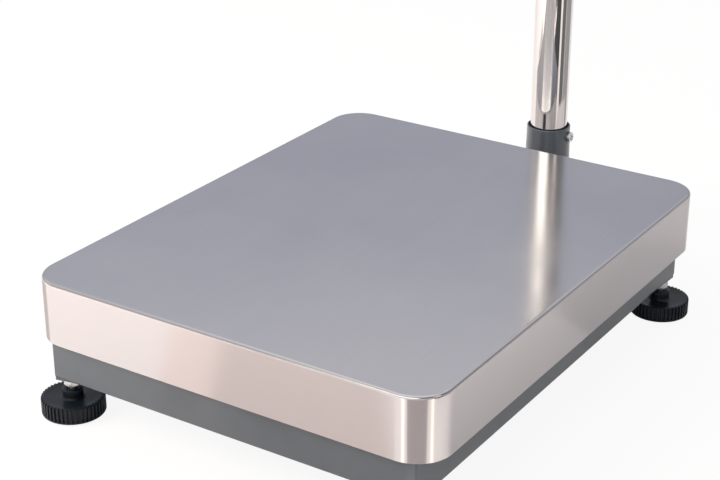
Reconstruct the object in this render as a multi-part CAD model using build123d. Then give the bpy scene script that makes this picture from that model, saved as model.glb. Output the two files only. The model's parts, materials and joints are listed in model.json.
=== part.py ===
from build123d import *
import os

# Platform scale: a stainless pan on a grey steel base with four levelling feet,
# and a round column behind it that carries the indicator.
# Millimetres. X runs across the pan, Y from front to rear, Z up from the floor.

# Weighing pan
pan_width = 400.0
pan_depth = 500.0
pan_skirt = 57.5
pan_corner = 32.0
pan_bend = 2.5
pan_wall = 1.2

# Base frame, folded from sheet
side_inset = 16.7
end_inset = 7.3
base_wall = 2.0
base_height = 48.0
base_fold = 1.6
bottom_flange = 24.0
top_flange = 12.0
flange_corner = 6.0

# Corner plates that carry the feet
plate_wall = 3.2
plate_reach = 58.0
plate_end = 13.0
plate_side = 4.5
bush_radius = 6.0
bush_height = 8.0

# Levelling feet
foot_stand = 33.5
foot_inset_x = 8.5
foot_inset_y = 12.5
knob_radius = 28.2
knob_top = 15.7
knob_shoulder = 2.6
knob_edge = 1.0
dish_depth = 1.2
dish_radius = 22.5
flute_count = 44
flute_radius = 1.5
flute_depth = 1.1
hub_radius = 9.0
hub_height = 8.5
hub_edge = 1.6
hub_foot = 2.5
sole_radius = 22.0
sole_wall = 3.6
sole_proud = 1.0
stud_radius = 4.0
stud_length = 50.0
stud_sunk = 9.0
nut_flats = 13.0
nut_height = 6.5

# Cell, its beam and its spacers
beam_width = 92.0
beam_height = 20.0
beam_wall = 3.0
beam_window = 17.0
beam_window_x = 105.0
spacer_wall = 5.0
spacer_length = 52.0
spacer_corner = 4.0
cell_length = 150.0
cell_width = 40.0
cell_height = 32.0
cell_edge = 0.6
cell_bore = 11.0
cell_bore_y = 17.0
cell_slot = 6.0
cell_bolt_first = 12.5
cell_bolt_pitch = 25.0
bolt_radius = 4.0
bolt_head_radius = 6.5
bolt_head_height = 8.0
bolt_grip = 20.0
bolt_socket = 6.0

# Load frame of square tube, and the pads on it
tube_size = 25.0
tube_wall = 2.0
tube_round = 3.0
rail_side_margin = 30.8
rail_end_margin = 28.7
mount_plate_wall = 6.0
mount_plate_width = 90.0
pad_radius = 11.0
pad_height = 4.0
pad_edge = 1.2
pad_from_end = 26.0
cap_flange = 2.0
cap_plug = 10.0
cap_wall = 2.0
cap_edge = 0.8

# Overload stops
stop_y = 160.0
stop_gap = 0.8
stop_ledge = 17.0
stop_bracket_width = 34.0
stop_bracket_wall = 3.0
stop_bracket_leg = 20.0
stop_bracket_end = 14.0
stop_bracket_corner = 6.0
stop_head_height = 5.3
stop_length = 38.0

# Column, its collar and its bracket
column_gap = 72.0
column_radius = 19.0
column_wall = 1.5
column_length = 700.0
collar_wall = 3.4
collar_taper = 1.2
collar_step = 1.0
collar_rim = 0.5
collar_height = 62.5
collar_mouth = 1.9
collar_mouth_depth = 4.0
collar_foot = 24.0
seat_wall = 3.0
seat_lip = 3.0
bracket_width = 62.0
bracket_wall = 3.0
bracket_height = 27.0
bracket_drop = 5.0
bracket_tail = 30.0
bracket_ear = 18.0
bracket_hole_z = 12.0
bracket_slope = 9.0
bracket_ear_corner = 5.0
bracket_bolt_radius = 3.0
bracket_bolt_head_radius = 5.0
bracket_bolt_head_height = 6.0
bracket_bolt_socket = 5.0
bracket_bolt_reach = 8.0
clamp_radius = 3.0
clamp_head_radius = 5.0
clamp_head_height = 5.0
clamp_spot = 0.4
clamp_socket = 5.0
clamp_point_gap = 0.1
clamp_drop = 9.0

# Circular level
level_radius = 10.0
level_height = 9.0
level_flange = 1.5
level_edge = 0.6
level_glass = 7.0
level_glass_height = 4.0
level_screw_radius = 2.0

# Cable gland
gland_x = 95.0
gland_z = 24.0
gland_thread = 8.0
gland_bore = 3.0
gland_flats = 19.0
gland_hex = 5.0
gland_nut = 4.0
gland_tail = 2.0
gland_dome = 11.0
gland_dome_radius = 8.5

# Indicator
head_width = 210.0
head_face = 140.0
head_corner = 16.0
head_back = 25.0
head_split = 13.0
head_front = 37.0
head_draft = 18.0
head_screw_side = 27.0
head_screw_end = 23.0
head_screw_sink = 7.0
head_screw_bite = 6.0
boss_length = 18.0
head_wall = 2.5
head_edge = 5.0
face_tilt = 30.0
boss_radius = 10.0
window_side = 30.0
window_drop = 20.0
window_height = 44.0
window_wall = 1.5
window_corner = 4.0
window_play = 0.2
window_ledge = 5.0
module_margin = 3.0
module_rim = 5.0
module_recess = 0.8
key_count = 6
key_width = 20.0
key_height = 14.0
key_corner = 3.0
key_edge = 0.8
key_side = 32.5
key_rise = 30.0
key_proud = 1.6
key_travel = 1.0
key_flange = 1.5
key_flange_reach = 2.0
key_stem = 3.0
key_stem_gap = 0.1
board_wall = 1.6
board_w = 22.0
board_margin = 12.0
board_corner = 3.0
switch_size = 6.0
switch_height = 3.5
switch_cap = 0.5
switch_plunger = 1.7
battery_length = 72.0
battery_width = 46.0
battery_depth = 17.0
battery_corner = 4.0
battery_edge = 2.0
head_screw_radius = 1.5
head_screw_head = 2.9
head_screw_head_height = 2.5
head_screw_socket = 2.4
head_boss = 4.0
socket_u = -52.0
socket_v = -30.0
socket_radius = 8.0
socket_flange = 3.0
socket_shoulder = 1.5
socket_play = 0.2
socket_body = 12.0
socket_bore = 5.0
socket_depth = 8.0

# Yoke and knobs that hold the indicator
yoke_wall = 3.0
yoke_gap = 1.0
yoke_depth = 52.0
yoke_arm = 16.0
yoke_foot_rise = 13.0
pivot_height = 84.0
plug_spigot = 24.0
plug_flange = 4.0
plug_rim = 1.5
plug_lead = 2.0
yoke_screw_radius = 4.0
yoke_screw_head_radius = 7.0
yoke_screw_head_height = 4.0
yoke_screw_socket = 5.0
yoke_screw_bite = 12.0
knob_stud_radius = 3.0
tilt_knob_radius = 15.0
tilt_knob_height = 13.0
tilt_knob_lobes = 6
tilt_knob_lobe = 3.5
tilt_knob_waist = 2.0
tilt_knob_edge = 1.2
knob_stud_bite = 14.0

# Clearances
running = 0.05
thread_play = 0.05
bolt_play = 0.4
soft_gap = 0.3
key_gap = 0.4
column_play = 0.08

# Heights, worked out from the floor up
base_bottom = foot_stand + plate_wall
base_floor = base_bottom + base_wall
base_top = base_bottom + base_height
beam_top = base_floor + beam_height
cell_bottom = beam_top + spacer_wall
cell_top = cell_bottom + cell_height
frame_bottom = cell_top + spacer_wall
frame_top = frame_bottom + tube_size
stop_top = frame_bottom - stop_gap
ledge_top = base_top - stop_ledge
pan_under = frame_top + pad_height + soft_gap
pan_top = pan_under + pan_wall
skirt_bottom = pan_top - pan_skirt
bracket_top = base_bottom + bracket_height + bracket_drop
collar_top = bracket_top + collar_height
seat_bottom = bracket_top - collar_foot
column_bottom = seat_bottom + seat_wall
clamp_z = collar_top - clamp_drop
column_top = column_bottom + column_length
yoke_floor = column_top + plug_flange + yoke_wall
pivot_z = yoke_floor + pivot_height

# Places in plan
base_x = pan_width / 2 - side_inset
base_y = pan_depth / 2 - end_inset
foot_x = base_x - foot_inset_x
foot_y = base_y - foot_inset_y
rail_x = base_x - rail_side_margin
rail_half = base_y - rail_end_margin
column_y = pan_depth / 2 + column_gap
clamp_seat = column_radius + collar_wall - clamp_spot
level_y = (pan_depth / 2 + column_y - column_radius - collar_wall) / 2
bolt_y = [cell_length / 2 - cell_bolt_first - cell_bolt_pitch * i for i in (0, 1)]
cell_end_y = sum(bolt_y) / 2

# Places on the indicator's face, across and up from its middle
head_screw_u = head_width / 2 - head_screw_side
head_screw_v = head_face / 2 - head_screw_end
window_width = head_width - 2 * window_side
window_v = head_face / 2 - window_drop - window_height / 2
key_pitch = (head_width - 2 * key_side) / (key_count - 1)
key_v = key_rise + key_height / 2 - head_face / 2
switch_top = board_w + board_wall / 2 + switch_height + key_travel

corners = {
    "front_left": (-1, -1),
    "front_right": (1, -1),
    "rear_left": (-1, 1),
    "rear_right": (1, 1),
}
pieces = {}


def block(low, high):
    size = [b - a for a, b in zip(low, high)]
    return Pos(*low) * Box(*size, align=(Align.MIN, Align.MIN, Align.MIN))


def rod(radius, low, high, x=0.0, y=0.0):
    upright = (Align.CENTER, Align.CENTER, Align.MIN)
    return Pos(x, y, low) * Cylinder(radius, high - low, align=upright)


def cross_rod(radius, low, high, y, z):
    upright = (Align.CENTER, Align.CENTER, Align.MIN)
    return Pos(low, y, z) * Rot(0, 90, 0) * Cylinder(radius, high - low, align=upright)


def rounded(width, depth, radius, low, high):
    return extrude(Pos(0, 0, low) * RectangleRounded(width, depth, radius), high - low)


def turned(*outline):
    return revolve(Plane.XZ * make_face(Polyline(*outline, close=True)), Axis.Z)


def prism(outline, low, high):
    return extrude(Pos(0, 0, low) * make_face(Polyline(*outline, close=True)), high - low)


def hexagon(flats, low, high):
    """Hexagon with both ends' corners turned off at 30 degrees."""
    body = extrude(Pos(0, 0, low) * RegularPolygon(flats / 2, 6, major_radius=False), high - low)
    tip = flats / 3 ** 0.5
    drop = (tip - flats / 2) * 0.58
    inner = flats / 2
    return body & turned(
        (0, low), (inner, low), (tip, low + drop), (tip, high - drop), (inner, high), (0, high)
    )


def cap_screw(radius, head_radius, head_height, grip, socket):
    """Socket head screw, point down, with the underside of its head at height 0."""
    tip = radius / 4
    head = rod(head_radius, 0, head_height)
    head = fillet(head.edges().group_by(Axis.Z)[-1], head_height / 8)
    recess = extrude(
        Pos(0, 0, head_height / 2) * RegularPolygon(socket / 2, 6, major_radius=False), head_height
    )
    shank = turned(
        (0, 0), (radius, 0), (radius, tip - grip), (radius - tip, -grip), (0, -grip)
    )
    return head - recess + shank


def group(solids):
    return Compound(children=list(solids))


def quarter_copies(solid):
    """Four copies of a solid made for the right rear corner."""
    side = [solid, mirror(solid, Plane.YZ)]
    return side + [mirror(one, Plane.XZ) for one in side]


# Weighing pan: pressed sheet with a skirt, open underneath

def weighing_pan():
    outer = rounded(pan_width, pan_depth, pan_corner, skirt_bottom, pan_top)
    outer = fillet(outer.faces().sort_by(Axis.Z)[-1].edges(), pan_bend)
    inner = rounded(
        pan_width - 2 * pan_wall, pan_depth - 2 * pan_wall, pan_corner - pan_wall,
        skirt_bottom - 1, pan_under,
    )
    inner = fillet(inner.faces().sort_by(Axis.Z)[-1].edges(), pan_bend - pan_wall)
    return outer - inner


# Base frame: four rails of C section folded from sheet, mitred and welded at the corners

def base_ring():
    outer = block((-base_x, -base_y, base_bottom), (base_x, base_y, base_top))
    outer = fillet(outer.edges(), base_fold)
    inner_x = base_x - base_wall
    inner_y = base_y - base_wall
    ring = outer - block((-inner_x, -inner_y, base_floor), (inner_x, inner_y, base_top - base_wall))
    for flange, low, high in (
        (bottom_flange, base_bottom - 1, base_floor + 1),
        (top_flange, base_top - base_wall - 1, base_top + 1),
    ):
        ring -= rounded(2 * (base_x - flange), 2 * (base_y - flange), flange_corner, low, high)
    for sx, sy in corners.values():
        ring -= rod(bush_radius + bolt_play, base_bottom - 1, base_floor + 1, sx * foot_x, sy * foot_y)
    gland_hole = rod(gland_thread + bolt_play, 0, 4 * base_wall)
    ring -= Pos(gland_x, base_y - 2 * base_wall, base_bottom + gland_z) * Rot(-90, 0, 0) * gland_hole
    for x, z in bracket_bolt_places():
        hole = rod(bracket_bolt_radius + bolt_play, 0, 4 * base_wall)
        ring -= Pos(x, base_y - 2 * base_wall, z) * Rot(-90, 0, 0) * hole
    return ring


def side_wedge():
    """Plan of the right rail, bounded by the mitres through the frame's corners."""
    cut = 2 * bottom_flange
    outline = [
        (base_x, base_y), (base_x - cut, base_y - cut), (base_x - cut, cut - base_y),
        (base_x, -base_y), (base_x + cut, -base_y), (base_x + cut, base_y),
    ]
    return prism(outline, base_bottom - 1, base_top + 1)


def base_sides():
    right = base_ring() & side_wedge()
    return group([right, mirror(right, Plane.YZ)])


def base_ends():
    ends = base_ring() - side_wedge() - mirror(side_wedge(), Plane.YZ)
    return group(ends.solids())


def bracket_bolt_places():
    ear_x = bracket_width / 2 + bracket_ear / 2
    low = bracket_top - bracket_height + bracket_hole_z / 2
    high = bracket_top - bracket_hole_z / 2
    return [(sx * ear_x, z) for sx in (-1, 1) for z in (low, high)]


# Corner plates: kite shaped sheet with a tapped bush, welded under the base

def corner_plate():
    near = base_fold / 2
    outline = [
        (base_x - near, base_y - near),
        (base_x - plate_reach, base_y - plate_end),
        (base_x - plate_end - plate_side, base_y - plate_reach),
        (base_x - plate_side, base_y - plate_reach),
    ]
    plate = prism(outline, foot_stand, base_bottom)
    plate += rod(bush_radius, base_bottom, base_bottom + bush_height, foot_x, foot_y)
    return plate - rod(stud_radius + thread_play, 0, base_top, foot_x, foot_y)


# Beam across the base: a channel open underneath that the cell's fixed end stands on

def cell_beam():
    half_x = base_x - base_wall
    low_y = cell_end_y - beam_width / 2
    high_y = cell_end_y + beam_width / 2
    beam = block((-half_x, low_y, base_floor), (half_x, high_y, beam_top))
    long_edges = beam.edges().filter_by(Axis.X).group_by(Axis.Z)[-1]
    beam = fillet(long_edges, beam_wall)
    beam -= block(
        (-half_x - 1, low_y + beam_wall, base_floor - 1),
        (half_x + 1, high_y - beam_wall, beam_top - beam_wall),
    )
    for x in (-beam_window_x, beam_window_x):
        beam -= rod(beam_window, base_floor, beam_top + 1, x, cell_end_y)
    for y in bolt_y:
        beam -= rod(bolt_radius + bolt_play, base_floor, beam_top + 1, 0, y)
    return beam


# Load cell: aluminium beam, milled through from side to side so that its two webs flex

def load_cell():
    cell = block(
        (-cell_width / 2, -cell_length / 2, cell_bottom), (cell_width / 2, cell_length / 2, cell_top)
    )
    cell = chamfer(cell.edges(), cell_edge)
    middle = (cell_bottom + cell_top) / 2
    for y in (-cell_bore_y, cell_bore_y):
        cell -= cross_rod(cell_bore, -cell_width, cell_width, y, middle)
    cell -= block(
        (-cell_width, -cell_bore_y, middle - cell_slot / 2), (cell_width, cell_bore_y, middle + cell_slot / 2)
    )
    for side in (-1, 1):
        for y in bolt_y:
            cell -= rod(bolt_radius, cell_bottom - 1, cell_top + 1, 0, side * y)
    return cell


def cell_spacer(side, low):
    half = spacer_length / 2
    plate = block(
        (-cell_width / 2, side * cell_end_y - half, low),
        (cell_width / 2, side * cell_end_y + half, low + spacer_wall),
    )
    plate = fillet(plate.edges().filter_by(Axis.Z), spacer_corner)
    for y in bolt_y:
        plate -= rod(bolt_radius + bolt_play, low - 1, low + spacer_wall + 1, 0, side * y)
    return plate


def cell_bolts_lower():
    screw = cap_screw(bolt_radius - thread_play, bolt_head_radius, bolt_head_height, bolt_grip, bolt_socket)
    return group(Pos(0, y, beam_top - beam_wall) * Rot(180, 0, 0) * screw for y in bolt_y)


def cell_bolts_upper():
    screw = cap_screw(bolt_radius - thread_play, bolt_head_radius, bolt_head_height, bolt_grip, bolt_socket)
    return group(Pos(0, -y, frame_bottom + mount_plate_wall) * screw for y in bolt_y)


# Load frame: two square tube rails, four channels across them and the plate on the cell

def rail(side):
    outline = Plane.XZ * RectangleRounded(tube_size, tube_size, tube_round)
    hollow = Plane.XZ * RectangleRounded(
        tube_size - 2 * tube_wall, tube_size - 2 * tube_wall, tube_round - tube_wall
    )
    tube = extrude(outline, rail_half, both=True) - extrude(hollow, rail_half + 1, both=True)
    return Pos(side * rail_x, 0, (frame_bottom + frame_top) / 2) * tube


def cross_channel(y):
    reach = rail_x - tube_size / 2
    half = tube_size / 2
    channel = block((-reach, y - half, frame_bottom), (reach, y + half, frame_top))
    inside = half - tube_wall
    under = frame_top - tube_wall
    return channel - block((-reach - 1, y - inside, frame_bottom - 1), (reach + 1, y + inside, under))


def load_frame():
    frame = rail(-1) + rail(1)
    end_y = rail_half - tube_size
    inner = (spacer_length + tube_size) / 2
    for y in (-end_y, -cell_end_y - inner, -cell_end_y + inner, end_y):
        frame += cross_channel(y)
    half = spacer_length / 2
    plate = block(
        (-mount_plate_width / 2, -cell_end_y - half, frame_bottom),
        (mount_plate_width / 2, -cell_end_y + half, frame_bottom + mount_plate_wall),
    )
    for y in bolt_y:
        plate -= rod(bolt_radius + bolt_play, frame_bottom - 1, frame_top, 0, -y)
    return frame + plate


def pan_pads():
    pad = rod(pad_radius, frame_top, frame_top + pad_height, rail_x, rail_half - pad_from_end)
    pad = fillet(pad.edges().group_by(Axis.Z)[-1], pad_edge)
    return group(quarter_copies(pad))


def tube_caps():
    middle = (frame_bottom + frame_top) / 2
    inside = tube_size - 2 * tube_wall - 2 * soft_gap
    flange = extrude(Plane.XZ * RectangleRounded(tube_size, tube_size, tube_round), -cap_flange)
    flange = fillet(flange.faces().sort_by(Axis.Y)[-1].edges(), cap_edge)
    corner = tube_round - tube_wall
    plug = extrude(Plane.XZ * RectangleRounded(inside, inside, corner), cap_plug)
    cored = inside - 2 * cap_wall
    hollow = extrude(Plane.XZ * RectangleRounded(cored, cored, corner), cap_plug + 1)
    return group(quarter_copies(Pos(rail_x, rail_half, middle) * (flange + plug - hollow)))


# Overload stops: angle brackets welded inside the base, each with a screw and its nut

def stop_brackets():
    wall = base_x - base_wall
    low_y = stop_y - stop_bracket_width / 2
    high_y = stop_y + stop_bracket_width / 2
    inner = rail_x - stop_bracket_end
    ledge = block((inner, low_y, ledge_top - stop_bracket_wall), (wall, high_y, ledge_top))
    leg = block((wall - stop_bracket_wall, low_y, ledge_top - stop_bracket_leg), (wall, high_y, ledge_top))
    angle = ledge + leg
    outer_edge = angle.edges().filter_by(Axis.Z).group_by(Axis.X)[0]
    angle = fillet(outer_edge, stop_bracket_corner)
    angle -= rod(bolt_radius + bolt_play, base_bottom, base_top, rail_x, stop_y)
    return group(quarter_copies(angle))


def stop_screws():
    head = hexagon(nut_flats, stop_top - stop_head_height, stop_top)
    seat = stop_top - stop_head_height
    end = stop_top - stop_length
    tip = bolt_radius / 4
    shank = turned(
        (0, seat), (bolt_radius, seat), (bolt_radius, end + tip), (bolt_radius - tip, end), (0, end)
    )
    return group(quarter_copies(Pos(rail_x, stop_y, 0) * (head + shank)))


def stop_nuts():
    nut = hexagon(nut_flats, ledge_top, ledge_top + nut_height)
    nut -= rod(bolt_radius + thread_play, ledge_top - 1, ledge_top + nut_height + 1)
    return group(quarter_copies(Pos(rail_x, stop_y, 0) * nut))


# Levelling foot: fluted knob moulded round a stud, with a rubber sole in its recess

def foot_knob():
    flutes = PolarLocations(knob_radius + flute_radius - flute_depth, flute_count) * Circle(flute_radius)
    fluted = extrude(Circle(knob_radius) - flutes, knob_top + hub_height)
    hub_top = knob_top + hub_height
    rim = knob_radius - knob_shoulder
    skin = turned(
        (0, sole_proud), (knob_radius - knob_edge, sole_proud), (knob_radius, sole_proud + knob_edge),
        (knob_radius, knob_top - knob_shoulder),
        (knob_radius - knob_shoulder / 3, knob_top - knob_shoulder / 3),
        (rim, knob_top), (dish_radius, knob_top - dish_depth / 2),
        (hub_radius + hub_foot, knob_top - dish_depth), (hub_radius, knob_top + hub_edge / 2),
        (hub_radius - hub_edge / 2, hub_top - hub_edge / 2), (hub_radius - hub_edge, hub_top), (0, hub_top),
    )
    knob = fluted & skin
    recess_top = sole_wall + soft_gap
    knob -= rod(sole_radius + soft_gap, 0, recess_top)
    return knob - rod(stud_radius, knob_top - stud_sunk, hub_top + 1)


def foot_sole():
    sole = rod(sole_radius, 0, sole_wall)
    return chamfer(sole.edges().group_by(Axis.Z)[0], 0.5)


def foot_stud():
    low = knob_top - stud_sunk
    high = low + stud_length
    tip = stud_radius / 4
    return turned(
        (0, low), (stud_radius, low), (stud_radius, high - tip), (stud_radius - tip, high), (0, high)
    )


def lock_nut():
    nut = hexagon(nut_flats, foot_stand - nut_height, foot_stand)
    return nut - rod(stud_radius + running, 0, foot_stand + 1)


# Column bracket: channel folded from plate, with ears bolted to the rear of the base

def column_bracket():
    half = bracket_width / 2
    low = bracket_top - bracket_height
    end = column_y + bracket_tail
    channel = block((-half, base_y, low), (half, end, bracket_top))
    channel = fillet(channel.edges().filter_by(Axis.Y).group_by(Axis.Z)[-1], bracket_wall)
    channel -= block(
        (-half + bracket_wall, base_y - 1, low - 1),
        (half - bracket_wall, end - bracket_wall, bracket_top - bracket_wall),
    )
    slope = [(base_y + bracket_width, low - 1), (end + 1, low - 1), (end + 1, low + bracket_slope)]
    slope = prism(slope, -half - 1, half + 1)
    channel -= Rot(90, 0, 90) * slope
    ear = block((-half - bracket_ear, base_y, low), (half + bracket_ear, base_y + bracket_wall, bracket_top))
    ear = fillet(ear.edges().filter_by(Axis.Y), bracket_ear_corner)
    channel += ear - block(
        (-half + bracket_wall, 0, low - 1), (half - bracket_wall, end, bracket_top - bracket_wall)
    )
    collar_hole = column_radius + collar_wall - collar_step
    channel -= rod(collar_hole, low - 1, bracket_top + 1, 0, column_y)
    for x, z in bracket_bolt_places():
        hole = rod(bracket_bolt_radius + bolt_play, -1, bracket_wall + 1)
        channel -= Pos(x, base_y, z) * Rot(-90, 0, 0) * hole
    channel -= rod(level_screw_radius, low, bracket_top + 1, 0, level_y)
    return channel


def bracket_bolts():
    screw = cap_screw(
        bracket_bolt_radius, bracket_bolt_head_radius, bracket_bolt_head_height,
        bracket_wall + base_wall + bracket_bolt_reach, bracket_bolt_socket,
    )
    seat = base_y + bracket_wall
    return group(Pos(x, seat, z) * Rot(-90, 0, 0) * screw for x, z in bracket_bolt_places())


# Collar: turned socket welded through the bracket, tapered above it, with a tapped hole

def column_collar():
    inside = column_radius + column_play
    outside = column_radius + collar_wall
    foot = outside - collar_step
    mouth = column_radius + collar_mouth
    collar = turned(
        (column_radius - seat_lip, seat_bottom), (foot, seat_bottom), (foot, bracket_top),
        (outside + collar_taper, bracket_top), (outside, collar_top - collar_rim),
        (outside - collar_rim, collar_top), (mouth, collar_top), (mouth, collar_top - collar_mouth_depth),
        (inside, collar_top - collar_mouth_depth - mouth + inside),
        (inside, column_bottom), (column_radius - seat_lip, column_bottom),
    )
    collar = Pos(0, column_y, 0) * collar
    clear = outside + clamp_head_height
    spot = cross_rod(clamp_head_radius + bolt_play, clamp_seat, clear, column_y, clamp_z)
    hole = cross_rod(clamp_radius + thread_play, 0, clear, column_y, clamp_z)
    return collar - spot - hole


def clamp_screw():
    grip = clamp_seat - column_radius - clamp_point_gap
    screw = cap_screw(clamp_radius, clamp_head_radius, clamp_head_height, grip, clamp_socket)
    return Pos(clamp_seat, column_y, clamp_z) * Rot(0, 90, 0) * screw


def column_tube():
    tube = rod(column_radius, column_bottom, column_top, 0, column_y)
    return tube - rod(column_radius - column_wall, column_bottom - 1, column_top + 1, 0, column_y)


def column_plug():
    inside = column_radius - column_wall - column_play
    low = column_top - plug_spigot
    high = column_top + plug_flange
    rim = column_radius + plug_rim
    plug = turned(
        (0, low), (inside - plug_lead, low), (inside, low + plug_lead), (inside, column_top),
        (column_radius, column_top), (rim, column_top + plug_rim), (rim, high), (0, high),
    )
    plug -= rod(yoke_screw_radius, low + plug_lead, high + 1)
    return Pos(0, column_y, 0) * plug


# Circular level on the bracket, just behind the pan

def level_body():
    cup = turned(
        (0, 0), (level_radius + level_flange, 0), (level_radius + level_flange, level_flange),
        (level_radius, level_flange + level_edge), (level_radius, level_height - level_edge),
        (level_radius - level_edge, level_height), (level_glass + running, level_height),
        (level_glass + running, level_height - level_glass_height), (0, level_height - level_glass_height),
    )
    return Pos(0, level_y, bracket_top) * cup


def level_vial():
    low = level_height - level_glass_height
    vial = turned((0, low), (level_glass, low), (level_glass, level_height - level_edge), (0, level_height))
    return Pos(0, level_y, bracket_top) * vial


# Cable gland in the base's rear wall

def cable_gland():
    inner_end = -base_wall - gland_nut - gland_tail
    outer_end = gland_hex + gland_dome
    dome = Pos(0, 0, gland_hex) * Cylinder(
        gland_dome_radius, gland_dome, align=(Align.CENTER, Align.CENTER, Align.MIN)
    )
    dome = fillet(dome.edges().group_by(Axis.Z)[-1], gland_dome_radius / 2)
    body = rod(gland_thread, inner_end, 0) + hexagon(gland_flats, 0, gland_hex) + dome
    body += hexagon(gland_flats, -base_wall - gland_nut, -base_wall)
    body -= rod(gland_bore, inner_end - 1, outer_end + 1)
    return Pos(gland_x, base_y, base_bottom + gland_z) * Rot(-90, 0, 0) * body


# Indicator: built flat, face up, round its tilt pivot, then leaned back on the column

head_place = Pos(0, column_y, pivot_z) * Rot(90 - face_tilt, 0, 0)


def head_section(margin, w):
    return Pos(0, 0, w) * RectangleRounded(
        head_width - 2 * margin, head_face - 2 * margin, head_corner - margin
    )


def front_shell():
    shell = extrude(head_section(0, head_split), head_front - head_split)
    shell = fillet(shell.faces().sort_by(Axis.Z)[-1].edges(), head_edge)
    shell -= extrude(head_section(head_wall, head_split - 1), head_front - head_wall - head_split + 1)
    window_floor = head_front - window_wall
    opening = Pos(0, window_v, 0)
    shell -= opening * rounded(
        window_width + 2 * window_play, window_height + 2 * window_play, window_corner + window_play,
        window_floor, head_front + 1,
    )
    shell -= opening * rounded(
        window_width - 2 * window_ledge, window_height - 2 * window_ledge, window_corner,
        head_split, head_front + 1,
    )
    for u in key_places():
        cut = rounded(
            key_width + 2 * key_gap, key_height + 2 * key_gap, key_corner + key_gap,
            head_split, head_front + 1,
        )
        shell -= Pos(u, key_v, 0) * cut
    for u, v in screw_places():
        shell += rod(head_boss, head_split, head_front - head_wall, u, v)
        shell -= rod(head_screw_radius + thread_play, head_split - 1, head_split + 2 * head_screw_bite, u, v)
    return shell


def rear_shell():
    shell = tapered(0, head_back + head_split) - tapered(head_wall, head_back + head_split - head_wall)
    for side in (-1, 1):
        low = min(side * head_width / 2, side * (head_width / 2 - boss_length))
        shell += cross_rod(boss_radius, low, low + boss_length, 0, 0)
        shell -= cross_rod(knob_stud_radius + thread_play, low - 1, low + boss_length + 1, 0, 0)
    for u, v in screw_places():
        shell += rod(head_boss, head_wall / 2 - head_back, head_split, u, v)
        shell -= rod(head_screw_head + soft_gap, -head_back - 1, head_screw_sink - head_back, u, v)
        shell -= rod(head_screw_radius + bolt_play, -head_back, head_split + 1, u, v)
    socket_hole = socket_radius - socket_shoulder
    shell -= rod(socket_hole, -head_back - 1, head_wall - head_back + 1, socket_u, socket_v)
    return shell


def tapered(margin, depth):
    """Block that narrows backwards from the split between the two shells."""
    forward = extrude(head_section(margin, 0), depth, taper=head_draft)
    return Pos(0, 0, head_split) * mirror(forward, Plane.XY)


def key_places():
    return [(i - (key_count - 1) / 2) * key_pitch for i in range(key_count)]


def screw_places():
    return [(su * head_screw_u, sv * head_screw_v) for su in (-1, 1) for sv in (-1, 1)]


def display_window():
    pane = rounded(window_width, window_height, window_corner, head_front - window_wall, head_front)
    return Pos(0, window_v, 0) * pane


def display_module():
    high = head_front - head_wall - soft_gap
    low = board_w + board_wall / 2
    width = window_width - 2 * (window_ledge + module_margin)
    height = window_height - 2 * (window_ledge + module_margin)
    body = rounded(width, height, module_recess, low, high)
    body -= rounded(
        width - 2 * module_rim, height - 2 * module_rim, module_recess, high - module_recess, high + 1
    )
    return Pos(0, window_v, 0) * body


def circuit_board():
    width = head_width - 4 * board_margin
    height = head_face - 2 * board_margin
    board = rounded(width, height, board_corner, board_w - board_wall / 2, board_w + board_wall / 2)
    for u, v in screw_places():
        board -= rod(head_boss + soft_gap, head_split, head_front, u, v)
    return board


def key_body(u):
    top = head_front + key_proud
    cap = rounded(key_width, key_height, key_corner, head_front - head_wall - key_travel, top)
    cap = fillet(cap.faces().sort_by(Axis.Z)[-1].edges(), key_edge)
    flange_top = head_front - head_wall - key_stem_gap
    flange_width = key_width + 2 * key_flange_reach
    flange_height = key_height + 2 * key_flange_reach
    flange = rounded(flange_width, flange_height, key_corner, flange_top - key_flange, flange_top)
    stem = rod(key_stem, switch_top + key_stem_gap, flange_top)
    return Pos(u, key_v, 0) * (cap + flange + stem)


def key_switches():
    low = board_w + board_wall / 2
    top = switch_top - key_travel
    half = switch_size / 2
    switch = block((-half, -half, low), (half, half, top - switch_cap)) + rod(switch_plunger, low, top)
    return group(Pos(u, key_v, 0) * switch for u in key_places())


def battery_pack():
    low = head_wall - head_back
    pack = rounded(battery_length, battery_width, battery_corner, low, low + battery_depth)
    return fillet(pack.faces().sort_by(Axis.Z)[-1].edges(), battery_edge)


def lead_socket():
    low = -head_back - socket_flange
    barrel = socket_radius - socket_shoulder - socket_play
    socket = rod(socket_radius, low, -head_back) + rod(barrel, low, socket_body - head_back)
    socket -= rod(socket_bore, low - 1, socket_depth - head_back)
    return Pos(socket_u, socket_v, 0) * socket


def head_screws():
    seat = head_screw_sink - head_back
    grip = head_split - seat + head_screw_bite
    screw = cap_screw(head_screw_radius, head_screw_head, head_screw_head_height, grip, head_screw_socket)
    return group(Pos(u, v, seat) * Rot(180, 0, 0) * screw for u, v in screw_places())


# Yoke: U folded from plate, screwed to the plug in the top of the column

def yoke():
    inner = head_width / 2 + yoke_gap
    outer = inner + yoke_wall
    half = yoke_depth / 2
    low = yoke_floor - yoke_wall
    bridge = block((-outer, -half, low), (outer, half, yoke_floor))
    top = Pos(0, pivot_z) * Circle(yoke_arm)
    foot = Pos(0, (low + yoke_floor + yoke_foot_rise) / 2) * Rectangle(yoke_depth, yoke_foot_rise + yoke_wall)
    arm = make_hull([*top.edges(), *foot.edges()])
    sides = extrude(Plane.YZ * arm, outer, both=True)
    body = bridge + sides - block((-inner, -half, yoke_floor), (inner, half, pivot_z + yoke_arm))
    body -= cross_rod(knob_stud_radius + thread_play, -outer - 1, outer + 1, 0, pivot_z)
    body -= rod(yoke_screw_radius + bolt_play, low - 1, yoke_floor + 1)
    return Pos(0, column_y, 0) * body


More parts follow.
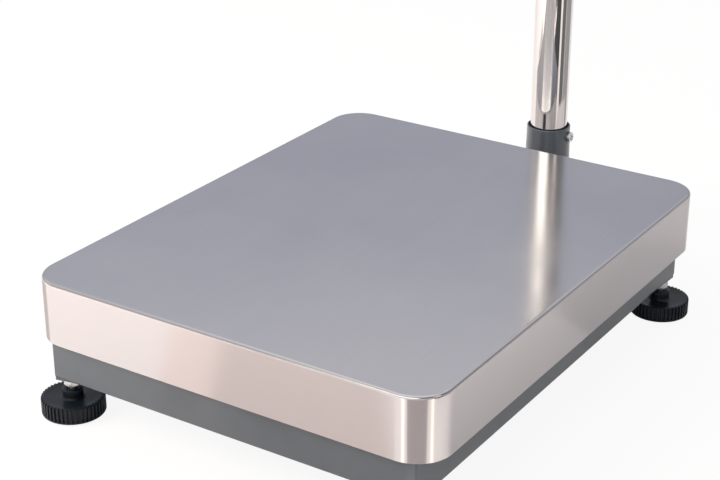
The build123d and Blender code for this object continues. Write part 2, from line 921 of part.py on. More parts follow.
def yoke_screw():
    grip = plug_flange + yoke_wall + yoke_screw_bite
    screw = cap_screw(
        yoke_screw_radius - thread_play, yoke_screw_head_radius, yoke_screw_head_height,
        grip, yoke_screw_socket,
    )
    return Pos(0, column_y, yoke_floor) * screw


def tilt_knob(side):
    """Lobed hand knob on a stud, made upright on the arm's outside and then laid over."""
    lobes = PolarLocations(tilt_knob_radius - tilt_knob_lobe, tilt_knob_lobes) * Circle(tilt_knob_lobe)
    disc = Circle(tilt_knob_radius - tilt_knob_waist) + lobes
    knob = extrude(disc, tilt_knob_height)
    knob = fillet(knob.faces().sort_by(Axis.Z)[-1].edges(), tilt_knob_edge)
    knob += rod(knob_stud_radius, -yoke_wall - yoke_gap - knob_stud_bite, 1)
    seat = head_width / 2 + yoke_gap + yoke_wall
    return Pos(side * seat, column_y, pivot_z) * Rot(0, side * 90, 0) * knob


# All pieces by name

pieces["weighing_pan"] = weighing_pan()
pieces["pan_pads"] = pan_pads()
pieces["load_frame"] = load_frame()
pieces["tube_caps"] = tube_caps()
pieces["load_cell"] = load_cell()
pieces["cell_spacer_lower"] = cell_spacer(1, beam_top)
pieces["cell_spacer_upper"] = cell_spacer(-1, cell_top)
pieces["cell_bolts_lower"] = cell_bolts_lower()
pieces["cell_bolts_upper"] = cell_bolts_upper()
pieces["cell_beam"] = cell_beam()
pieces["base_sides"] = base_sides()
pieces["base_ends"] = base_ends()
pieces["corner_plates"] = group(quarter_copies(corner_plate()))
pieces["stop_brackets"] = stop_brackets()
pieces["stop_screws"] = stop_screws()
pieces["stop_nuts"] = stop_nuts()
for name, (sx, sy) in corners.items():
    place = Pos(sx * foot_x, sy * foot_y, 0)
    pieces[f"foot_knob_{name}"] = place * foot_knob()
    pieces[f"foot_sole_{name}"] = place * foot_sole()
    pieces[f"foot_stud_{name}"] = place * foot_stud()
    pieces[f"lock_nut_{name}"] = place * lock_nut()
pieces["column_bracket"] = column_bracket()
pieces["bracket_bolts"] = bracket_bolts()
pieces["column_collar"] = column_collar()
pieces["clamp_screw"] = clamp_screw()
pieces["column_tube"] = column_tube()
pieces["column_plug"] = column_plug()
pieces["level_body"] = level_body()
pieces["level_vial"] = level_vial()
pieces["cable_gland"] = cable_gland()
pieces["yoke"] = yoke()
pieces["yoke_screw"] = yoke_screw()
pieces["tilt_knob_left"] = tilt_knob(-1)
pieces["tilt_knob_right"] = tilt_knob(1)
pieces["indicator_front"] = head_place * front_shell()
pieces["indicator_rear"] = head_place * rear_shell()
pieces["display_window"] = head_place * display_window()
pieces["display_module"] = head_place * display_module()
pieces["circuit_board"] = head_place * circuit_board()
pieces["key_switches"] = head_place * key_switches()
pieces["battery_pack"] = head_place * battery_pack()
pieces["lead_socket"] = head_place * lead_socket()
pieces["indicator_screws"] = head_place * head_screws()
for number, u in enumerate(key_places(), 1):
    pieces[f"key_{number}"] = head_place * key_body(u)

# The origin is on the floor, under the middle of the whole outline
boxes = [piece.bounding_box() for piece in pieces.values()]
middle_y = (min(box.min.Y for box in boxes) + max(box.max.Y for box in boxes)) / 2

os.makedirs("parts", exist_ok=True)
for name, piece in pieces.items():
    export_step(Pos(0, -middle_y, 0) * piece, f"parts/{name}.step")
print(len(pieces), "nodes; the pan's centre is at y", round(-middle_y, 3))
print("pan top", round(pan_top, 2), "collar top", round(collar_top, 2))
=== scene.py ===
import json
import math

import bmesh
import bpy
import numpy as np
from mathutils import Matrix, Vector


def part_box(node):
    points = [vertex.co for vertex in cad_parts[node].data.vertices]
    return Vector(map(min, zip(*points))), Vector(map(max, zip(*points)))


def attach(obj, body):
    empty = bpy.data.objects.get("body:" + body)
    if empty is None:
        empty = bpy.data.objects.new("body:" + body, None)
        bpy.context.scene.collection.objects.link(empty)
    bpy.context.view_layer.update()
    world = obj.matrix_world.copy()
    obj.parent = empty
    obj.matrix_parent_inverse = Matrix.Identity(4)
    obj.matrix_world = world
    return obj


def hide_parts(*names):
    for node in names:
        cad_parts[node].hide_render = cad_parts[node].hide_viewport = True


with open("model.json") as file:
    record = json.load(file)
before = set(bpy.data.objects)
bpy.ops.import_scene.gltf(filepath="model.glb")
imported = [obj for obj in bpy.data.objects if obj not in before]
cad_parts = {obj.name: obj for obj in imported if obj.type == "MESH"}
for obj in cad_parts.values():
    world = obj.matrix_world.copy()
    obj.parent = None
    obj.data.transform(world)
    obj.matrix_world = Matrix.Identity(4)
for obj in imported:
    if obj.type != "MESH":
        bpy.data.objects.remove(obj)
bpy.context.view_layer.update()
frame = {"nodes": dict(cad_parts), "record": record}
print("frame loaded,", len(frame["nodes"]), "nodes")

mm = 0.001
bodies = frame["record"]["behaviour"]["bodies"]
bodyOf = {node: body for body, nodes in bodies.items() for node in nodes}
slotOf = {part["node"]: part["material_slot"] for part in frame["record"]["subparts"]}

panLow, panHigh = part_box("weighing_pan")
panMiddle = (panLow + panHigh) / 2
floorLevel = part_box("foot_sole_front_left")[0].z


# sRGB hex value to linear red, green, blue and alpha
def linear(hexCode):
    channels = [int(hexCode[i:i + 2], 16) / 255 for i in (1, 3, 5)]
    return [c / 12.92 if c <= 0.04045 else ((c + 0.055) / 1.055) ** 2.4 for c in channels] + [1.0]


# Adds a node; settings give properties and input values, links the source of an input
def addNode(tree, kind, settings=None, links=None):
    node = tree.nodes.new(kind)
    for key, value in (settings or {}).items():
        if isinstance(key, int) or key in node.inputs:
            node.inputs[key].default_value = value
        else:
            setattr(node, key, value)
    for key, source in (links or {}).items():
        tree.links.new(source, node.inputs[key])
    return node


# Gives a colour ramp its stops: position, and a hex value or linear red, green and blue
def setStops(rampNode, stops):
    elements = rampNode.color_ramp.elements
    while len(elements) < len(stops):
        elements.new(0.5)
    for element, (position, shade) in zip(elements, stops):
        element.position = position
        element.color = linear(shade) if isinstance(shade, str) else (*shade, 1)


# Material with one Principled shader, returned with its tree and that shader
def newMaterial(name, principled):
    material = bpy.data.materials.new(name)
    material.use_nodes = True
    tree = material.node_tree
    tree.nodes.clear()
    shader = addNode(tree, "ShaderNodeBsdfPrincipled", principled)
    addNode(tree, "ShaderNodeOutputMaterial", links={"Surface": shader.outputs["BSDF"]})
    return material, tree, shader


# Each finish is named for what the real one is. Its patterns are noises of a size in mm, or of
# three sizes that draw them out into lines. Colours, roughness from and to, and bumps of a
# strength and a depth in mm each follow one of them.
finishSettings = {
    # stainless sheet brushed from front to rear: the grain blurs reflections and hardly shows as
    # lines; it is drawn coarser than the real one, so that the render can show it
    "brushedStainless": {
        "slot": "pan_steel",
        "shader": {"Metallic": 1.0},
        "patterns": {
            "grain": {"size": (0.7, 60.0, 0.7), "rough": 0.6},
            "cloud": {"size": 142.9, "detail": 3.0, "rough": 0.55},  # handling marks
            "smears": {"size": (38.46, 111.1, 38.46), "turn": (0, 0, 0.5)},
            "waves": {"size": 71.43, "rough": 0.4},  # the slight unevenness of pressed sheet
        },
        "colours": [("grain", "#CDCBCB", "#D0CECE"), ("cloud", "#FAFAFC", "#FFFFFF")],
        "roughness": [("smears", 0.13, 0.16), ("cloud", 0.0, 0.03)],
        "bumps": [("waves", 0.2, 0.5), ("grain", 0.04, 0.01)],
    },
    # welded stainless tube, polished bright: mirror like with faint lines along it
    "polishedStainless": {
        "slot": "column_steel",
        "shader": {"Metallic": 1.0},
        "patterns": {"lines": {"size": (1.111, 1.111, 250.0)}},
        "colours": [("lines", "#DEDCDA", "#E6E4E2")],
        "roughness": [("lines", 0.04, 0.09)],
    },
    # slate grey oven paint on sheet steel: satin, with a fine orange peel
    "slatePaint": {
        "slot": "grey_paint",
        "shader": {"Coat Weight": 0.5, "Coat Roughness": 0.07},
        "patterns": {"peel": {"size": 1.6}, "cloud": {"size": 45.45}},
        "colours": [("cloud", "#434C53", "#4A5359")],
        "roughness": [("cloud", 0.32, 0.4)],
        "bumps": [("peel", 0.12, 0.05)],
    },
    # black glass filled nylon, moulded: dull with a soft shine on its edges
    "mouldedNylon": {
        "slot": "black_plastic",
        "shader": {"IOR": 1.53, "Specular IOR Level": 0.22},
        "patterns": {"grain": {"size": 0.5, "rough": 0.6}, "cloud": {"size": 16.67}},
        "colours": [("cloud", "#0D141A", "#151D24")],
        "roughness": [("grain", 0.24, 0.36)],
        "bumps": [("grain", 0.15, 0.04)],
    },
    # black rubber, pressed: matt and slightly dusty
    "softRubber": {
        "slot": "rubber",
        "shader": {"Roughness": 0.85, "IOR": 1.5},
        "patterns": {"grain": {"size": 0.7, "detail": 3.0, "rough": 0.6}},
        "colours": [("grain", "#18181A", "#242527")],
        "bumps": [("grain", 0.3, 0.06)],
    },
    # steel with clear passivated zinc: light silver with a cloudy blue and yellow cast
    "zincPlate": {
        "slot": "zinc",
        "shader": {"Metallic": 1.0},
        "patterns": {"cloud": {"size": 3.333, "detail": 3.0}, "fine": {"size": 0.4}},
        "colours": [("cloud", "#DAD8D2", "#E4E5E6", "#D3D9E0")],
        "roughness": [("fine", 0.2, 0.34)],
    },
    # anodised aluminium bar, milled: satin with fine cutter lines across it
    "milledAluminium": {
        "slot": "aluminium",
        "shader": {"Metallic": 1.0},
        "patterns": {"lines": {"size": (8.333, 0.625, 8.333)}},
        "colours": [("lines", "#C9CACC", "#DCDDDE")],
        "roughness": [("lines", 0.25, 0.38)],
        "bumps": [("lines", 0.1, 0.02)],
    },
    # moulded acrylic: clear, slightly smoked
    "clearAcrylic": {
        "slot": "clear",
        "shader": {"Roughness": 0.03, "Transmission Weight": 1.0, "IOR": 1.49},
        "patterns": {"haze": {"size": 5.0}},
        "colours": [("haze", "#7E868A", "#8A9296")],
    },
    # ABS moulded against a spark eroded tool: light warm grey with a fine matt grain
    "grainedHousing": {
        "slot": "housing",
        "shader": {"IOR": 1.54},
        "patterns": {"grain": {"size": 0.9, "rough": 0.6}, "cloud": {"size": 55.56}},
        "colours": [("cloud", "#9A9EA1", "#A1A5A8")],
        "roughness": [("grain", 0.44, 0.58)],
        "bumps": [("grain", 0.25, 0.06)],
    },
    # dark silicone, moulded: soft matt with a faint sheen
    "siliconeKeys": {
        "slot": "keys",
        "shader": {"Roughness": 0.6, "IOR": 1.45},
        "patterns": {"grain": {"size": 0.5, "rough": 0.6}},
        "colours": [("grain", "#2B3034", "#343A3F")],
        "bumps": [("grain", 0.15, 0.03)],
    },
    # glass epoxy board under green solder resist: smooth, with a faint weave
    "circuitBoard": {
        "slot": "electronics",
        "shader": {"Roughness": 0.35, "IOR": 1.55},
        "patterns": {"weave": {"size": 1.111}},
        "colours": [("weave", "#14402A", "#1B5236")],
    },
    # blue heat shrink sleeve over a battery pack: glossy, slightly wrinkled
    "shrinkSleeve": {
        "slot": "battery",
        "shader": {"Roughness": 0.3, "IOR": 1.5},
        "patterns": {"folds": {"size": (3.333, 16.67, 16.67)}},
        "colours": [("folds", "#1F3F7C", "#284D92")],
        "bumps": [("folds", 0.3, 0.2)],
    },
}
noiseBand = (0.3, 0.7)  # most of a noise's values lie between these


# Makes a finish: its colours multiply, its roughness layers add up and its bumps lie on each other
def makeFinish(name, settings):
    material, tree, shader = newMaterial(name, settings["shader"])
    place = addNode(tree, "ShaderNodeTexCoord").outputs["Object"]
    patterns = {}
    for label, pattern in settings["patterns"].items():
        vector, size = place, pattern["size"]
        noise = {"Detail": pattern.get("detail", 2.0), "Roughness": pattern.get("rough", 0.5)}
        if isinstance(size, tuple):
            scales = [1 / (length * mm) for length in size]
            stretch = {"Scale": scales, "Rotation": pattern.get("turn", (0, 0, 0))}
            vector = addNode(tree, "ShaderNodeMapping", stretch, {"Vector": place}).outputs[0]
            noise["Scale"] = 1.0
        else:
            noise["Scale"] = 1 / (size * mm)
        patterns[label] = addNode(tree, "ShaderNodeTexNoise", noise, {"Vector": vector}).outputs["Fac"]

    colour = roughness = normal = None
    multiply, add = {"data_type": "RGBA", "blend_type": "MULTIPLY", 0: 1.0}, {"operation": "ADD"}
    for label, *shades in settings["colours"]:
        layer = addNode(tree, "ShaderNodeValToRGB", links={"Fac": patterns[label]})
        setStops(layer, list(zip(np.linspace(*noiseBand, len(shades)), shades)))
        layer = layer.outputs["Color"]
        if colour:
            layer = addNode(tree, "ShaderNodeMix", multiply, {6: colour, 7: layer}).outputs[2]
        colour = layer
    for label, low, high in settings.get("roughness", []):
        limits = {"From Min": noiseBand[0], "From Max": noiseBand[1], "To Min": low, "To Max": high}
        layer = addNode(tree, "ShaderNodeMapRange", limits, {"Value": patterns[label]}).outputs[0]
        if roughness:
            layer = addNode(tree, "ShaderNodeMath", add, {0: roughness, 1: layer}).outputs[0]
        roughness = layer
    for label, strength, depth in settings.get("bumps", []):
        links = {"Height": patterns[label]}
        if normal:
            links["Normal"] = normal
        relief = {"Strength": strength, "Distance": depth * mm}
        normal = addNode(tree, "ShaderNodeBump", relief, links).outputs[0]

    for socket, source in (("Base Color", colour), ("Roughness", roughness), ("Normal", normal)):
        if source:
            tree.links.new(source, shader.inputs[socket])
    return material


finishes = {settings["slot"]: makeFinish(name, settings) for name, settings in finishSettings.items()}
print("materials made,", len(finishes))


# Links a mesh as the piece that stands for a CAD node, smooth between sharp edges, in its finish
def finishPiece(name, mesh, node, sharpAngle=32.0):
    mesh.polygons.foreach_set("use_smooth", np.ones(len(mesh.polygons), bool))
    mesh.set_sharp_from_angle(angle=math.radians(sharpAngle))
    mesh.update()
    piece = bpy.data.objects.new(name, mesh)
    bpy.context.scene.collection.objects.link(piece)
    mesh.materials.clear()
    mesh.materials.append(finishes[slotOf[node]])
    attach(piece, bodyOf[node])
    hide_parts(node)
    return piece


# Merges doubled points and, where asked, turns all faces outwards
def weld(mesh, distance, turnOut=False):
    work = bmesh.new()
    work.from_mesh(mesh)
    bmesh.ops.remove_doubles(work, verts=work.verts, dist=distance)
    if turnOut:
        bmesh.ops.recalc_face_normals(work, faces=work.faces)
    work.to_mesh(mesh)
    work.free()


# Quads between rings of points held ring by ring; each point joins the next one and the next ring
def ringFaces(rings, perRing, first=0):
    i, j = np.meshgrid(np.arange(rings - 1), np.arange(perRing), indexing="ij")
    here, there = i * perRing, (i + 1) * perRing
    nextJ = (j + 1) % perRing
    quads = np.stack([here + j, here + nextJ, there + nextJ, there + j], -1)
    return (quads.reshape(-1, 4) + first).tolist()


# Mesh of rings given as a (rings, points, 3) array, with a flat face on its first and last where asked
def ringMesh(name, points, capped=False):
    rings, perRing = points.shape[:2]
    faces = ringFaces(rings, perRing)
    if capped:
        faces.append(list(range(perRing))[::-1])
        faces.append(list(range((rings - 1) * perRing, rings * perRing)))
    mesh = bpy.data.meshes.new(name)
    mesh.from_pydata(points.reshape(-1, 3).tolist(), [], faces)
    return mesh


# Points of an arc in a section: centre plus radius times the cosine and sine of evenly spaced angles
def arc(centre, radius, start, end, count):
    angle = np.radians(np.linspace(start, end, count))
    return np.stack([centre[0] + radius * np.cos(angle), centre[1] + radius * np.sin(angle)], -1)


# Section of (radius, height) points carried round an upright axis: radius times cosine and sine
def lathe(section, count):
    angle = np.linspace(0, 2 * math.pi, count, endpoint=False)
    ring = np.stack([np.cos(angle), np.sin(angle), np.zeros(count)], -1)
    points = section[:, 0, None, None] * ring[None]
    points[:, :, 2] += section[:, 1, None]
    return points


# Middle of a node's box across the floor, in mm
def axisOf(node):
    low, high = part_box(node)
    return np.array([(low.x + high.x) / 2 / mm, (low.y + high.y) / 2 / mm, 0])


# Weighing pan, sizes in mm: the skirt, its bend into the top and the hem of one pressed sheet
panSettings = {
    "cornerRadius": 32.0, "perCorner": 25, "wall": 1.2,
    "bend": 2.5, "outerSteps": 9, "innerSteps": 6,
    "hemRound": 0.25, "hemStrip": 3.0,
    "besideBend": 1.0, "topBorder": 6.0,  # rows that keep the flat sides of the bend flat
}


# The sheet's section is a row of points, each an inset and a height. Each gives a ring: the four
# corner centres plus the corner radius less the inset times the direction, at the point's height.
def makePan(settings):
    bottom, top = panLow.z / mm, panHigh.z / mm
    bend, wall, hem = settings["bend"], settings["wall"], settings["hemRound"]
    strip, beside, border = settings["hemStrip"], settings["besideBend"], settings["topBorder"]
    outer = [(hem, bottom), (0.0, bottom + hem), (0.0, bottom + strip), (0.0, top - bend - beside)]
    outer += [(bend - x, z) for x, z in arc((0.0, top - bend), bend, 0, 90, settings["outerSteps"])]
    outer += [(bend + beside, top), (bend + border, top)]
    inner = [(bend + border, top - wall), (bend + beside, top - wall)]
    inner += [(bend - x, z) for x, z in arc((0.0, top - bend), bend - wall, 90, 0, settings["innerSteps"])]
    inner += [(wall, bottom + strip), (wall, bottom + hem), (wall - hem, bottom)]
    section = np.array(outer + inner)

    radius, perCorner = settings["cornerRadius"], settings["perCorner"]
    half = np.array([panHigh.x - panLow.x, panHigh.y - panLow.y]) / 2 / mm
    quarter = np.radians(np.linspace(0, 90, perCorner))
    angle = (quarter + np.arange(4)[:, None] * math.pi / 2).ravel()
    cornerSides = np.array([(1, 1), (-1, 1), (-1, -1), (1, -1)])
    cornerCentres = np.repeat(cornerSides * (half - radius), perCorner, axis=0)
    directions = np.stack([np.cos(angle), np.sin(angle)], -1)
    points = np.empty((len(section), len(angle), 3))
    points[:, :, :2] = cornerCentres + (radius - section[:, 0])[:, None, None] * directions
    points[:, :, 2] = section[:, 1, None]
    points = points * mm + [panMiddle.x, panMiddle.y, 0]

    rings, perRing = points.shape[:2]
    split, last = len(outer), (rings - 1) * perRing
    j = np.arange(perRing)
    nextJ = (j + 1) % perRing
    faces = ringFaces(split, perRing) + ringFaces(rings - split, perRing, split * perRing)
    faces += np.stack([last + j, last + nextJ, nextJ, j], -1).tolist()  # the hem closes the section
    faces.append(list(range((split - 1) * perRing, split * perRing)))  # the top
    faces.append(list(range(split * perRing, (split + 1) * perRing))[::-1])  # its underside
    mesh = bpy.data.meshes.new("weighingPan")
    mesh.from_pydata(points.reshape(-1, 3).tolist(), [], faces)
    finishPiece("weighingPan", mesh, "weighing_pan", 40.0)


makePan(panSettings)
print("pan made")


# Column, sizes in mm: a polished tube, smooth all round
columnSettings = {"around": 160, "wall": 1.5, "edge": 0.3, "plainEnd": 2.0, "rows": 12}
meshWeld = 0.001 * mm


# The tube wall's section, a thin rectangle with its outer edges broken, is turned round the axis
def makeColumn(settings):
    low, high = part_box("column_tube")
    radius, bottom, top = (high.x - low.x) / 2 / mm, low.z / mm, high.z / mm
    inside, edge, end = radius - settings["wall"], settings["edge"], settings["plainEnd"]
    section = [(inside, bottom), (radius - edge, bottom), (radius, bottom + edge)]
    section += [(radius, z) for z in np.linspace(bottom + end, top - end, settings["rows"])]
    section += [(radius, top - edge), (radius - edge, top), (inside, top), (inside, bottom)]
    points = lathe(np.array(section), settings["around"]) + axisOf("column_tube")
    mesh = ringMesh("columnTube", points * mm)
    weld(mesh, meshWeld, turnOut=True)
    finishPiece("columnTube", mesh, "column_tube")


makeColumn(columnSettings)
print("column made")


# Foot knobs, sizes in mm: moulded, with teeth that run up over the rim
knobSettings = {
    "teeth": 44, "perTooth": 10, "groove": 1.4,
    "grooveShare": 0.45, "flank": 0.8,  # how wide a groove is in its pitch, and how soft its sides are
    "grooveStart": 25.6, "grooveRise": 0.6,  # radius where the grooves begin, and where they are full
    "plainFoot": 1.6, "footRise": 0.8,  # height above the underside where the grooves end
    "rimRound": 0.9, "rimSteps": 9, "edge": 0.8, "edgeSteps": 5,
    "sideRows": (2.0, 1.0, 4),  # how far below the rim, how far above the foot, and how many
    "hub": 9.0, "hubHeight": 8.5, "hubRound": 1.6, "roundSteps": 6, "hubFoot": 2.5, "footSteps": 7,
    "bore": 4.0, "boreEdge": 0.4, "boreDepth": 17.5,
    "dish": 1.2, "dishRows": ((15.0, 0.1), (19.0, 0.3), (22.5, 0.65)),  # radius, height over the dish
    "rimRows": ((24.3, 0.08), (24.9, 0.0), (25.4, 0.0)),  # radius, depth under the top
    "recess": 22.3, "recessEdge": 1.2, "recessDepth": 2.9,
}


# The knob's section is turned round its axis. Near the rim, the radius then sinks by the groove's
# depth times a square wave of the angle with soft flanks, one wave for each tooth.
def makeKnob(corner, settings):
    node = "foot_knob_" + corner
    low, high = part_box(node)
    radius, bottom, hubTop = (high.x - low.x) / 2 / mm, low.z / mm, high.z / mm
    top = hubTop - settings["hubHeight"]
    dish = top - settings["dish"]
    grooveFoot = bottom + settings["plainFoot"]
    rim, edge, recess = settings["rimRound"], settings["edge"], settings["recess"]
    hub, hubRound, foot = settings["hub"], settings["hubRound"], settings["hubFoot"]
    bore, boreEdge = settings["bore"], settings["boreEdge"]
    underRim, overFoot, sideCount = settings["sideRows"]
    section = np.concatenate([
        [(bore, hubTop - settings["boreDepth"]), (bore, hubTop - boreEdge), (bore + boreEdge, hubTop)],
        arc((hub - hubRound, hubTop - hubRound), hubRound, 90, 0, settings["roundSteps"]),
        arc((hub + foot, dish + foot), foot, 180, 270, settings["footSteps"]),
        [(x, dish + rise) for x, rise in settings["dishRows"]],
        [(x, top - drop) for x, drop in settings["rimRows"]],
        arc((radius - rim, top - rim), rim, 90, 0, settings["rimSteps"]),
        [(radius, z) for z in np.linspace(top - rim - underRim, grooveFoot + overFoot, sideCount)],
        [(radius, grooveFoot + settings["footRise"]), (radius, grooveFoot)],
        arc((radius - edge, bottom + edge), edge, 0, -90, settings["edgeSteps"]),
        [(recess + settings["recessEdge"], bottom), (recess, bottom)],
        [(recess, bottom + settings["recessDepth"])],
    ])

    teeth = settings["teeth"]
    points = lathe(section, teeth * settings["perTooth"])
    angle = np.linspace(0, 2 * math.pi, points.shape[1], endpoint=False)
    step = np.clip((settings["grooveShare"] + np.cos(teeth * angle)) / settings["flank"], 0, 1)
    wave = step * step * (3 - 2 * step)  # 1 in the grooves, 0 on the teeth
    outwards = np.clip((section[:, 0] - settings["grooveStart"]) / settings["grooveRise"], 0, 1)
    upwards = np.clip((section[:, 1] - grooveFoot) / settings["footRise"], 0, 1)
    depth = settings["groove"] * outwards * upwards
    points[:, :, :2] *= 1 - (depth / section[:, 0])[:, None, None] * wave[None, :, None]
    mesh = ringMesh("knob_" + corner, (points + axisOf(node)) * mm, capped=True)
    weld(mesh, meshWeld, turnOut=True)
    finishPiece(node + "_dressed", mesh, node)


footCorners = ("front_left", "front_right", "rear_left", "rear_right")
for corner in footCorners:
    makeKnob(corner, knobSettings)
print("foot knobs made")


# Everything else keeps its CAD form: a merged copy with smooth faces and sharp folds
cadWeld = 0.002 * mm


def smoothCopy(node):
    mesh = frame["nodes"][node].data.copy()
    mesh.name = node + "Mesh"
    weld(mesh, cadWeld)
    piece = finishPiece(node + "_dressed", mesh, node)
    flat = piece.modifiers.new("flatFaces", "WEIGHTED_NORMAL")  # flat faces stay flat beside a fillet
    flat.keep_sharp = True


newPieces = {"weighing_pan", "column_tube"} | {"foot_knob_" + corner for corner in footCorners}
for node in frame["nodes"]:
    if node not in newPieces:
        smoothCopy(node)
print("CAD forms dressed")


# Camera at the photograph's viewing angle: place from the middle of the pan's top in mm, angles
# in degrees
cameraSettings = {
    "place": (741.5, -1177.4, 614.9), "turn": 33.08, "down": 24.23,
    "lens": 84.6, "sensor": 36.0, "clip": (0.05, 50.0),
}


def makeCamera(settings):
    data = bpy.data.cameras.new("camera")
    data.lens, data.sensor_width = settings["lens"], settings["sensor"]
    data.clip_start, data.clip_end = settings["clip"]
    camera = bpy.data.objects.new("camera", data)
    bpy.context.scene.collection.objects.link(camera)
    panTop = Vector((panMiddle.x, panMiddle.y, panHigh.z))
    camera.location = panTop + Vector(settings["place"]) * mm
    camera.rotation_euler = (math.radians(90 - settings["down"]), 0, math.radians(settings["turn"]))
    bpy.context.scene.camera = camera


makeCamera(cameraSettings)
print("camera made")


# Share of even white by the kind of ray: the camera's, or one mirrored or let through by the object
def whiteShare(tree, white):
    path = addNode(tree, "ShaderNodeLightPath").outputs
    reflected = addNode(
        tree, "ShaderNodeMath", {"operation": "MAXIMUM"},
        {0: path["Is Glossy Ray"], 1: path["Is Transmission Ray"]},
    ).outputs[0]
    reflected = addNode(
        tree, "ShaderNodeMath", {"operation": "MULTIPLY", 1: white["mirrored"]}, {0: reflected}
    ).outputs[0]
    return addNode(
        tree, "ShaderNodeMath", {"operation": "MULTIPLY_ADD", 1: white["seen"]},
        {0: path["Is Camera Ray"], 2: reflected},
    ).outputs[0]


# Room: soft shades by height, from the horizon at 0 to straight up at 1, with a brighter and a
# duller side
roomSettings = {
    "heights": [
        (0.0, (0.50, 0.53, 0.60)), (0.34, (0.43, 0.45, 0.53)), (0.41, (0.47, 0.49, 0.57)),
        (0.47, (0.68, 0.69, 0.76)), (0.56, (0.78, 0.75, 0.78)), (0.75, (0.66, 0.66, 0.66)),
        (1.0, (0.55, 0.55, 0.55)),
    ],
    # from and to: how nearly a direction points that way where the side begins and where it is full
    "sides": [
        {"towards": (-0.55, -0.83, 0.0), "from": -0.1, "to": 0.95,
         "colour": (0.95, 0.89, 0.86), "share": 0.7},
        {"towards": (0.75, 0.66, 0.0), "from": 0.1, "to": 0.95,
         "colour": (0.34, 0.34, 0.35), "share": 0.5},
    ],
    "white": {"seen": 0.86, "mirrored": 0.04},
}


def makeRoom(settings):
    world = bpy.data.worlds.new("studio")
    bpy.context.scene.world = world
    world.use_nodes = True
    tree = world.node_tree
    tree.nodes.clear()
    direction = addNode(tree, "ShaderNodeTexCoord").outputs["Generated"]
    height = addNode(tree, "ShaderNodeSeparateXYZ", links={0: direction}).outputs[2]
    walls = addNode(tree, "ShaderNodeValToRGB", links={"Fac": height})
    setStops(walls, settings["heights"])
    layers = []
    for part in settings["sides"]:
        dot = addNode(
            tree, "ShaderNodeVectorMath", {"operation": "DOT_PRODUCT", 1: part["towards"]}, {0: direction}
        ).outputs["Value"]
        share = addNode(
            tree, "ShaderNodeMapRange",
            {"interpolation_type": "SMOOTHSTEP", "From Min": part["from"], "From Max": part["to"],
             "To Max": part["share"]},
            {"Value": dot},
        ).outputs[0]
        layers.append((share, part["colour"]))
    layers.append((whiteShare(tree, settings["white"]), (1, 1, 1)))
    colour = walls.outputs["Color"]
    for share, shade in layers:
        colour = addNode(
            tree, "ShaderNodeMix", {"data_type": "RGBA", 7: (*shade, 1)}, {0: share, 6: colour}
        ).outputs[2]
    background = addNode(tree, "ShaderNodeBackground", {"Strength": 1.0}, {"Color": colour})
    addNode(tree, "ShaderNodeOutputWorld", links={"Surface": background.outputs[0]})


# Floor: white paper, its size in metres, just under the feet
floorSettings = {"size": 90.0, "gap": 0.2, "paper": "#F6F5F5", "white": {"seen": 0.9, "mirrored": 0.16}}


def makeFloor(settings):
    half, level = settings["size"] / 2, floorLevel - settings["gap"] * mm
    ends = [(-half, -half, level), (half, -half, level), (half, half, level), (-half, half, level)]
    mesh = bpy.data.meshes.new("floor")
    mesh.from_pydata(ends, [], [(0, 1, 2, 3)])
    floor = bpy.data.objects.new("floor", mesh)
    bpy.context.scene.collection.objects.link(floor)
    material = bpy.data.materials.new("paleFloor")
    material.use_nodes = True
    tree = material.node_tree
    tree.nodes.clear()
    paper = addNode(tree, "ShaderNodeBsdfDiffuse", {"Color": linear(settings["paper"])})
    white = addNode(tree, "ShaderNodeEmission", {"Color": (1, 1, 1, 1), "Strength": 1.0})
    share = whiteShare(tree, settings["white"])
    mix = addNode(tree, "ShaderNodeMixShader", links={0: share, 1: paper.outputs[0], 2: white.outputs[0]})
    addNode(tree, "ShaderNodeOutputMaterial", links={"Surface": mix.outputs[0]})
    mesh.materials.append(material)


# One flat panel of the studio that only reflections show, and that casts no shadow and lights nothing: its
# shade or glow is a painted reflection
def makeReflectionOnlyPanel(name, points, principled):
    mesh = bpy.data.meshes.new(name)
    mesh.from_pydata(points, [], [tuple(range(len(points)))])
    panel = bpy.data.objects.new(name, mesh)
    bpy.context.scene.collection.objects.link(panel)
    panel.visible_camera = panel.visible_diffuse = panel.visible_shadow = panel.visible_transmission = False
    mesh.materials.append(newMaterial(name, {"Roughness": 1.0, **principled})[0])
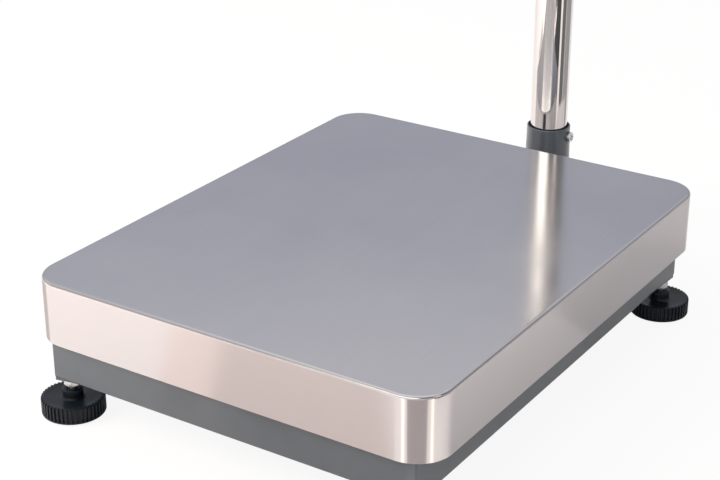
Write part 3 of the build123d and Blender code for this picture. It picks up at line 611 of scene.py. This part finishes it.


# Cards on the floor that only reflections show, painted reflections of shade and glints that draw the bands
# on the bright steel: corners in metres, shade, own brightness, height in mm
paintedReflectionCards = {
    # grey cards that the pan's skirts reflect: painted reflections of shaded floor
    "cornerCard": (
        [(0.19, -0.34), (0.196, -0.75), (0.418, -0.68), (0.577, -0.51), (0.22, -0.32)], "#A9A6A7", 0.0, 0.5),
    # painted glints: glowing strips that the bright steel reflects as glints, though they light nothing
    "leftPaintedGlint": (
        [(0.172, -0.34), (0.085, -0.74), (0.140, -0.75), (0.176, -0.34)], "#FFF4EA", 1.0, 0.8),
    "rightPaintedGlint": (
        [(0.215, -0.305), (0.61, -0.435), (0.622, -0.39), (0.225, -0.30)], "#FFEFE2", 1.1, 0.8),
    "frontCard": (
        [(-0.03, -0.315), (0.168, -0.315), (-0.15, -0.825), (-0.35, -0.825)], "#D1CBCA", 0.0, 0.5),
    "frontCardPale": (
        [(-0.09, -0.315), (-0.03, -0.315), (-0.35, -0.825), (-0.41, -0.825)], "#E9E1DE", 0.0, 0.5),
    "leftCard": (
        [(-0.22, -0.30), (-0.22, -0.05), (-0.6, -0.05), (-0.6, -0.34)], "#BDB9B9", 0.0, 0.5),
    "rightCard": (
        [(0.22, -0.24), (0.46, -0.10), (0.46, 0.20), (0.21, 0.06)], "#EDECED", 0.0, 0.3),
    "rightRearCard": (
        [(0.21, 0.06), (0.46, 0.20), (0.46, 0.40), (0.36, 0.60), (0.21, 0.50)], "#D6D5D6", 0.0, 0.3),
    # dark and grey cards that only the column reflects: painted reflections of shade in its bands
    "columnCard": (
        [(0.46, 0.10), (1.22, -0.18), (0.76, -0.787), (0.46, -0.37)], "#3A3D40", 0.0, 0.2),
    "columnDark": (
        [(0.376, 0.212), (1.29, 0.084), (1.25, 0.623), (0.365, 0.37)], "#66686C", 0.0, 0.2),
    "columnGrey": (
        [(0.361, 0.382), (1.236, 0.667), (0.61, 1.41), (0.178, 0.60)], "#A2A4A6", 0.0, 0.2),
}


def makePaintedReflectionCard(name, outline, shade, strength, height):
    makeReflectionOnlyPanel(name, [(x, y, floorLevel + height * mm) for x, y in outline], {
        "Base Color": linear(shade), "Emission Color": linear(shade), "Emission Strength": strength,
    })


# Upright screens on a ring round the column that only reflections show, glowing as bright as lit and shaded
# walls: painted reflections, which light nothing. From and to in degrees, foot and top in metres, shade,
# strength
paintedReflectionScreens = {
    "centre": (0.0, 0.265), "distance": 2.6,
    "panels": {
        "greyScreen": (-150, -116, 0.95, 2.3, "#C4C4C8", 1.0),
        "whiteScreen": (-113, -60, 1.0, 1.62, "#FFF8F0", 3.4),
        "darkScreen": (-54, -22, 0.95, 2.3, "#6A6D70", 1.0),
        "edgeScreen": (-19, -6, 1.0, 1.62, "#FFEEE2", 2.0),
        "farDarkScreen": (-3, 18, 0.95, 2.3, "#505356", 1.0),
        "farGreyScreen": (18, 62, 0.95, 2.3, "#8D9094", 1.0),
    },
}


def makePaintedReflectionScreens(settings):
    (centreX, centreY), distance = settings["centre"], settings["distance"]
    for name, (start, end, foot, top, shade, strength) in settings["panels"].items():
        (x, farX), (y, farY) = (
            centreX + distance * np.cos(np.radians([start, end])),
            centreY + distance * np.sin(np.radians([start, end])),
        )
        # each screen's glow is a painted reflection of a lit or shaded wall, not a lamp
        makeReflectionOnlyPanel(name, [(x, y, foot), (farX, farY, foot), (farX, farY, top), (x, y, top)], {
            "Base Color": (0, 0, 0, 1), "Specular IOR Level": 0.0,
            "Emission Color": linear(shade), "Emission Strength": strength,
        })


# Lamps: place, aim and size in metres, power in watts
lampSettings = {
    "overhead": {"place": (-0.3, 0.6, 2.9), "aim": (0, 0, 0), "size": (3.0, 3.0), "power": 12.0,
                 "tint": "#FFFFFF", "mirrored": True},
    "window": {"place": (-1.35, -1.45, 1.25), "aim": (-0.45, -0.5, 0), "size": (1.4, 1.1), "power": 60.0,
               "tint": "#FFEDE3", "mirrored": False},
    "strip": {"place": (1.7, -0.15, 0.9), "aim": (0.4, -0.2, 0), "size": (0.3, 1.0), "power": 8.0,
              "tint": "#FFE8D6", "mirrored": False},
}


def makeLamp(name, settings):
    data = bpy.data.lights.new(name, "AREA")
    data.shape = "RECTANGLE"
    data.size, data.size_y = settings["size"]
    data.energy = settings["power"]
    data.color = linear(settings["tint"])[:3]
    lamp = bpy.data.objects.new(name, data)
    bpy.context.scene.collection.objects.link(lamp)
    lamp.location = settings["place"]
    aim = Vector(settings["aim"]) - lamp.location
    lamp.rotation_euler = aim.to_track_quat("-Z", "Y").to_euler()
    lamp.visible_glossy = settings["mirrored"]


makeRoom(roomSettings)
makeFloor(floorSettings)
for name, card in paintedReflectionCards.items():
    makePaintedReflectionCard(name, *card)
makePaintedReflectionScreens(paintedReflectionScreens)
for name, lamp in lampSettings.items():
    makeLamp(name, lamp)
bpy.context.scene.view_settings.view_transform = "Standard"
print("studio made")
